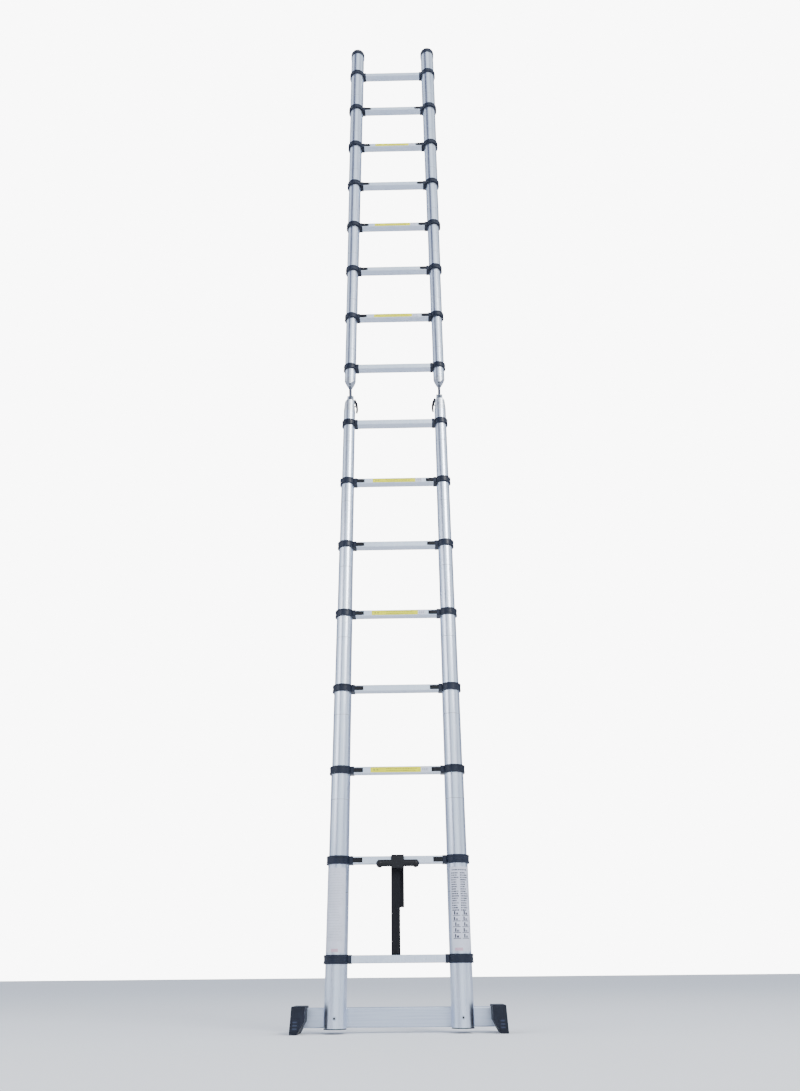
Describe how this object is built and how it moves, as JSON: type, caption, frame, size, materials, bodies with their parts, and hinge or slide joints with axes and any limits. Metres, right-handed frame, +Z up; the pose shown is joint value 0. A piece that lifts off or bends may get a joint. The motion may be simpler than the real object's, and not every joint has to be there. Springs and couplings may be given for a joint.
{
  "type": "telescoping ladder",
  "caption": "Double-sided telescoping ladder that folds at a centre hinge, with latched sliding sections, a stabiliser bar with rubber feet and a carrying strap.",
  "frame": {"origin": "on the floor, in the middle of the whole ladder's box", "axes": "+Z up along the extended rails, +X across the rungs, +Y to the back; the climber stands on the -Y side"},
  "size_m": [0.6738, 0.132, 4.92],
  "materials": {
    "anodised_tube": "satin anodised, fine lengthwise grain",
    "collar_nylon": "moulded, fine texture",
    "latch_nylon": "moulded, grooved",
    "stabiliser_bar": "satin anodised extrusion",
    "foot_rubber": "moulded, matt",
    "hinge_metal": "cast, satin",
    "lock_nylon": "moulded",
    "webbing": "woven",
    "handle_plastic": "moulded"
  },
  "bodies": {
    "lower_1": {"lower_section_1_tubes_and_rungs": "anodised_tube", "lower_section_1_collars": "collar_nylon", "stabiliser_bar_and_bolts": "stabiliser_bar", "stabiliser_feet": "foot_rubber", "carry_strap": "webbing", "carry_handle": "handle_plastic"},
    "lower_1_latch_right": {"lower_section_1_latch_right": "latch_nylon"},
    "lower_1_latch_left": {"lower_section_1_latch_left": "latch_nylon"},
    "lower_2": {"lower_section_2_tubes_and_rungs": "anodised_tube", "lower_section_2_collars": "collar_nylon"},
    "lower_2_latch_right": {"lower_section_2_latch_right": "latch_nylon"},
    "lower_2_latch_left": {"lower_section_2_latch_left": "latch_nylon"},
    "lower_3": {"lower_section_3_tubes_and_rungs": "anodised_tube", "lower_section_3_collars": "collar_nylon"},
    "lower_3_latch_right": {"lower_section_3_latch_right": "latch_nylon"},
    "lower_3_latch_left": {"lower_section_3_latch_left": "latch_nylon"},
    "lower_4": {"lower_section_4_tubes_and_rungs": "anodised_tube", "lower_section_4_collars": "collar_nylon"},
    "lower_4_latch_right": {"lower_section_4_latch_right": "latch_nylon"},
    "lower_4_latch_left": {"lower_section_4_latch_left": "latch_nylon"},
    "lower_5": {"lower_section_5_tubes_and_rungs": "anodised_tube", "lower_section_5_collars": "collar_nylon"},
    "lower_5_latch_right": {"lower_section_5_latch_right": "latch_nylon"},
    "lower_5_latch_left": {"lower_section_5_latch_left": "latch_nylon"},
    "lower_6": {"lower_section_6_tubes_and_rungs": "anodised_tube", "lower_section_6_collars": "collar_nylon"},
    "lower_6_latch_right": {"lower_section_6_latch_right": "latch_nylon"},
    "lower_6_latch_left": {"lower_section_6_latch_left": "latch_nylon"},
    "lower_7": {"lower_section_7_tubes_and_rungs": "anodised_tube", "lower_section_7_collars": "collar_nylon", "hinge_lower_leaves_and_pins": "hinge_metal"},
    "upper_1": {"upper_section_1_tubes_and_rungs": "anodised_tube", "upper_section_1_collars": "collar_nylon"},
    "upper_1_latch_right": {"upper_section_1_latch_right": "latch_nylon"},
    "upper_1_latch_left": {"upper_section_1_latch_left": "latch_nylon"},
    "upper_2": {"upper_section_2_tubes_and_rungs": "anodised_tube", "upper_section_2_collars": "collar_nylon"},
    "upper_2_latch_right": {"upper_section_2_latch_right": "latch_nylon"},
    "upper_2_latch_left": {"upper_section_2_latch_left": "latch_nylon"},
    "upper_3": {"upper_section_3_tubes_and_rungs": "anodised_tube", "upper_section_3_collars": "collar_nylon"},
    "upper_3_latch_right": {"upper_section_3_latch_right": "latch_nylon"},
    "upper_3_latch_left": {"upper_section_3_latch_left": "latch_nylon"},
    "upper_4": {"upper_section_4_tubes_and_rungs": "anodised_tube", "upper_section_4_collars": "collar_nylon"},
    "upper_4_latch_right": {"upper_section_4_latch_right": "latch_nylon"},
    "upper_4_latch_left": {"upper_section_4_latch_left": "latch_nylon"},
    "upper_5": {"upper_section_5_tubes_and_rungs": "anodised_tube", "upper_section_5_collars": "collar_nylon"},
    "upper_5_latch_right": {"upper_section_5_latch_right": "latch_nylon"},
    "upper_5_latch_left": {"upper_section_5_latch_left": "latch_nylon"},
    "upper_6": {"upper_section_6_tubes_and_rungs": "anodised_tube", "upper_section_6_collars": "collar_nylon"},
    "upper_6_latch_right": {"upper_section_6_latch_right": "latch_nylon"},
    "upper_6_latch_left": {"upper_section_6_latch_left": "latch_nylon"},
    "upper_7": {"upper_section_7_tubes_and_rungs": "anodised_tube", "upper_section_7_collars": "collar_nylon", "hinge_upper_leaves": "hinge_metal"},
    "hinge_lock_right": {"hinge_lock_right": "lock_nylon"},
    "hinge_lock_left": {"hinge_lock_left": "lock_nylon"}
  },
  "joints": [
    {"name": "lower_2_slide", "type": "slide", "parent": "lower_1", "child": "lower_2", "axis": [0, 0, -1], "range_m": [0, 0.27]},
    {"name": "lower_3_slide", "type": "slide", "parent": "lower_2", "child": "lower_3", "axis": [0, 0, -1], "range_m": [0, 0.27]},
    {"name": "lower_4_slide", "type": "slide", "parent": "lower_3", "child": "lower_4", "axis": [0, 0, -1], "range_m": [0, 0.27]},
    {"name": "lower_5_slide", "type": "slide", "parent": "lower_4", "child": "lower_5", "axis": [0, 0, -1], "range_m": [0, 0.27]},
    {"name": "lower_6_slide", "type": "slide", "parent": "lower_5", "child": "lower_6", "axis": [0, 0, -1], "range_m": [0, 0.27]},
    {"name": "lower_7_slide", "type": "slide", "parent": "lower_6", "child": "lower_7", "axis": [0, 0, -1], "range_m": [0, 0.27]},
    {"name": "centre_hinge", "type": "hinge", "parent": "lower_7", "child": "upper_7", "pos_m": [0, 0.036, 2.4615], "axis": [-1, 0, 0], "range_deg": [0, 180]},
    {"name": "upper_6_slide", "type": "slide", "parent": "upper_7", "child": "upper_6", "axis": [0, 0, -1], "range_m": [0, 0.27]},
    {"name": "upper_5_slide", "type": "slide", "parent": "upper_6", "child": "upper_5", "axis": [0, 0, -1], "range_m": [0, 0.27]},
    {"name": "upper_4_slide", "type": "slide", "parent": "upper_5", "child": "upper_4", "axis": [0, 0, -1], "range_m": [0, 0.27]},
    {"name": "upper_3_slide", "type": "slide", "parent": "upper_4", "child": "upper_3", "axis": [0, 0, -1], "range_m": [0, 0.27]},
    {"name": "upper_2_slide", "type": "slide", "parent": "upper_3", "child": "upper_2", "axis": [0, 0, -1], "range_m": [0, 0.27]},
    {"name": "upper_1_slide", "type": "slide", "parent": "upper_2", "child": "upper_1", "axis": [0, 0, -1], "range_m": [0, 0.27]},
    {"name": "hinge_lock_right_slide", "type": "slide", "parent": "lower_7", "child": "hinge_lock_right", "axis": [-1, 0, 0], "range_m": [0, 0.006], "stiffness_N_per_m": 400, "springref_m": -0.004},
    {"name": "hinge_lock_left_slide", "type": "slide", "parent": "lower_7", "child": "hinge_lock_left", "axis": [1, 0, 0], "range_m": [0, 0.006], "stiffness_N_per_m": 400, "springref_m": -0.004},
    {"name": "lower_1_latch_right_slide", "type": "slide", "parent": "lower_1", "child": "lower_1_latch_right", "axis": [-1, 0, 0], "range_m": [0, 0.007], "stiffness_N_per_m": 300, "springref_m": -0.004},
    {"name": "lower_1_latch_left_slide", "type": "slide", "parent": "lower_1", "child": "lower_1_latch_left", "axis": [1, 0, 0], "range_m": [0, 0.007], "stiffness_N_per_m": 300, "springref_m": -0.004},
    {"name": "lower_2_latch_right_slide", "type": "slide", "parent": "lower_2", "child": "lower_2_latch_right", "axis": [-1, 0, 0], "range_m": [0, 0.007], "stiffness_N_per_m": 300, "springref_m": -0.004},
    {"name": "lower_2_latch_left_slide", "type": "slide", "parent": "lower_2", "child": "lower_2_latch_left", "axis": [1, 0, 0], "range_m": [0, 0.007], "stiffness_N_per_m": 300, "springref_m": -0.004},
    {"name": "lower_3_latch_right_slide", "type": "slide", "parent": "lower_3", "child": "lower_3_latch_right", "axis": [-1, 0, 0], "range_m": [0, 0.007], "stiffness_N_per_m": 300, "springref_m": -0.004},
    {"name": "lower_3_latch_left_slide", "type": "slide", "parent": "lower_3", "child": "lower_3_latch_left", "axis": [1, 0, 0], "range_m": [0, 0.007], "stiffness_N_per_m": 300, "springref_m": -0.004},
    {"name": "lower_4_latch_right_slide", "type": "slide", "parent": "lower_4", "child": "lower_4_latch_right", "axis": [-1, 0, 0], "range_m": [0, 0.007], "stiffness_N_per_m": 300, "springref_m": -0.004},
    {"name": "lower_4_latch_left_slide", "type": "slide", "parent": "lower_4", "child": "lower_4_latch_left", "axis": [1, 0, 0], "range_m": [0, 0.007], "stiffness_N_per_m": 300, "springref_m": -0.004},
    {"name": "lower_5_latch_right_slide", "type": "slide", "parent": "lower_5", "child": "lower_5_latch_right", "axis": [-1, 0, 0], "range_m": [0, 0.007], "stiffness_N_per_m": 300, "springref_m": -0.004},
    {"name": "lower_5_latch_left_slide", "type": "slide", "parent": "lower_5", "child": "lower_5_latch_left", "axis": [1, 0, 0], "range_m": [0, 0.007], "stiffness_N_per_m": 300, "springref_m": -0.004},
    {"name": "lower_6_latch_right_slide", "type": "slide", "parent": "lower_6", "child": "lower_6_latch_right", "axis": [-1, 0, 0], "range_m": [0, 0.007], "stiffness_N_per_m": 300, "springref_m": -0.004},
    {"name": "lower_6_latch_left_slide", "type": "slide", "parent": "lower_6", "child": "lower_6_latch_left", "axis": [1, 0, 0], "range_m": [0, 0.007], "stiffness_N_per_m": 300, "springref_m": -0.004},
    {"name": "upper_1_latch_right_slide", "type": "slide", "parent": "upper_1", "child": "upper_1_latch_right", "axis": [-1, 0, 0], "range_m": [0, 0.007], "stiffness_N_per_m": 300, "springref_m": -0.004},
    {"name": "upper_1_latch_left_slide", "type": "slide", "parent": "upper_1", "child": "upper_1_latch_left", "axis": [1, 0, 0], "range_m": [0, 0.007], "stiffness_N_per_m": 300, "springref_m": -0.004},
    {"name": "upper_2_latch_right_slide", "type": "slide", "parent": "upper_2", "child": "upper_2_latch_right", "axis": [-1, 0, 0], "range_m": [0, 0.007], "stiffness_N_per_m": 300, "springref_m": -0.004},
    {"name": "upper_2_latch_left_slide", "type": "slide", "parent": "upper_2", "child": "upper_2_latch_left", "axis": [1, 0, 0], "range_m": [0, 0.007], "stiffness_N_per_m": 300, "springref_m": -0.004},
    {"name": "upper_3_latch_right_slide", "type": "slide", "parent": "upper_3", "child": "upper_3_latch_right", "axis": [-1, 0, 0], "range_m": [0, 0.007], "stiffness_N_per_m": 300, "springref_m": -0.004},
    {"name": "upper_3_latch_left_slide", "type": "slide", "parent": "upper_3", "child": "upper_3_latch_left", "axis": [1, 0, 0], "range_m": [0, 0.007], "stiffness_N_per_m": 300, "springref_m": -0.004},
    {"name": "upper_4_latch_right_slide", "type": "slide", "parent": "upper_4", "child": "upper_4_latch_right", "axis": [-1, 0, 0], "range_m": [0, 0.007], "stiffness_N_per_m": 300, "springref_m": -0.004},
    {"name": "upper_4_latch_left_slide", "type": "slide", "parent": "upper_4", "child": "upper_4_latch_left", "axis": [1, 0, 0], "range_m": [0, 0.007], "stiffness_N_per_m": 300, "springref_m": -0.004},
    {"name": "upper_5_latch_right_slide", "type": "slide", "parent": "upper_5", "child": "upper_5_latch_right", "axis": [-1, 0, 0], "range_m": [0, 0.007], "stiffness_N_per_m": 300, "springref_m": -0.004},
    {"name": "upper_5_latch_left_slide", "type": "slide", "parent": "upper_5", "child": "upper_5_latch_left", "axis": [1, 0, 0], "range_m": [0, 0.007], "stiffness_N_per_m": 300, "springref_m": -0.004},
    {"name": "upper_6_latch_right_slide", "type": "slide", "parent": "upper_6", "child": "upper_6_latch_right", "axis": [-1, 0, 0], "range_m": [0, 0.007], "stiffness_N_per_m": 300, "springref_m": -0.004},
    {"name": "upper_6_latch_left_slide", "type": "slide", "parent": "upper_6", "child": "upper_6_latch_left", "axis": [1, 0, 0], "range_m": [0, 0.007], "stiffness_N_per_m": 300, "springref_m": -0.004}
  ]
}
